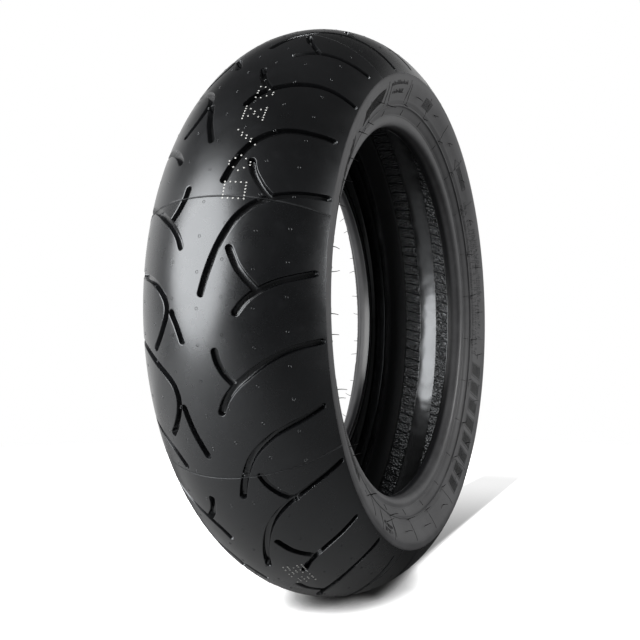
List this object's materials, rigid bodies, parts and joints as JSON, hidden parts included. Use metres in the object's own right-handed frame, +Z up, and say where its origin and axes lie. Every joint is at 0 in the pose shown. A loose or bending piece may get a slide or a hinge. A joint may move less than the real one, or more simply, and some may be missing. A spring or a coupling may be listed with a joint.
{
  "type": "motorcycle tire",
  "caption": "Tubeless radial rear tire for a motorcycle, with a rounded crown, long sweeping tread grooves with short branches, plain sidewalls, a rim line and wire-cored beads.",
  "frame": {"origin": "centre of the wheel: on the axle line, midway between the two sidewalls", "axes": "+Y along the axle towards the left sidewall, which the picture shows; +X forward; +Z up"},
  "size_m": [0.622, 0.1868, 0.622],
  "materials": {
    "tread_rubber": "semi-gloss",
    "sidewall_rubber": "satin",
    "liner_rubber": "gloss",
    "inner_rubber": "matte",
    "cord_fabric": "matte",
    "bead_wire": "satin",
    "marking_paint": "matte"
  },
  "bodies": {
    "root": {"tread_cap": "tread_rubber", "tread_base": "inner_rubber", "outer_belt": "cord_fabric", "inner_belt": "cord_fabric", "carcass_ply": "cord_fabric", "inner_liner": "liner_rubber", "left_shoulder_cushion": "inner_rubber", "right_shoulder_cushion": "inner_rubber", "left_sidewall": "sidewall_rubber", "right_sidewall": "sidewall_rubber", "left_rim_strip": "sidewall_rubber", "right_rim_strip": "sidewall_rubber", "left_chafer": "liner_rubber", "right_chafer": "liner_rubber", "left_bead_reinforcement": "cord_fabric", "right_bead_reinforcement": "cord_fabric", "left_bead_filler": "inner_rubber", "right_bead_filler": "inner_rubber", "left_bead_core": "bead_wire", "right_bead_core": "bead_wire"}
  },
  "joints": []
}
